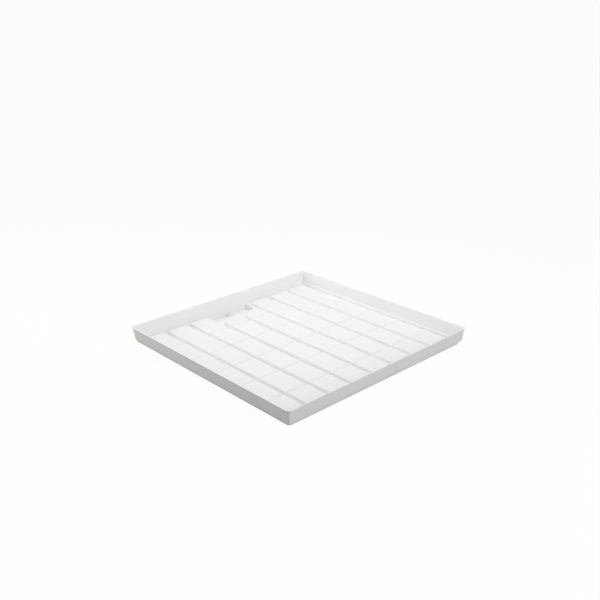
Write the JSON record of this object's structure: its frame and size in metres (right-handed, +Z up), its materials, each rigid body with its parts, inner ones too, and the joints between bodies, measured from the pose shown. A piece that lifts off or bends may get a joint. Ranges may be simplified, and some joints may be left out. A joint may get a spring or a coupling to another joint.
{
  "type": "drainage tray",
  "caption": "Shallow square plant tray with a floor of pads and channels that lead to a recess at one side, and an outlet with a lift-out strainer.",
  "frame": {"origin": "middle of the tray in plan, on the plane of the channels' underside, where it lies on its bench", "axes": "+Z up out of the tray, +Y towards the side with the drain recess and along the wide channels, X across them"},
  "size_m": [1, 1, 0.146],
  "materials": {
    "tray_sheet": "white formed sheet, satin",
    "outlet_plastic": "white moulded, soft gloss",
    "washer_plastic": "natural, matt",
    "seal_rubber": "black, matt"
  },
  "bodies": {
    "tray": {"tray": "tray_sheet", "drain_body": "outlet_plastic", "drain_gasket": "seal_rubber", "slip_washer": "washer_plastic", "lock_nut": "outlet_plastic"},
    "strainer": {"drain_strainer": "outlet_plastic"}
  },
  "joints": [
    {"name": "strainer_lift", "type": "slide", "parent": "tray", "child": "strainer", "axis": [0, 0, 1], "range_m": [0, 0.1]}
  ]
}
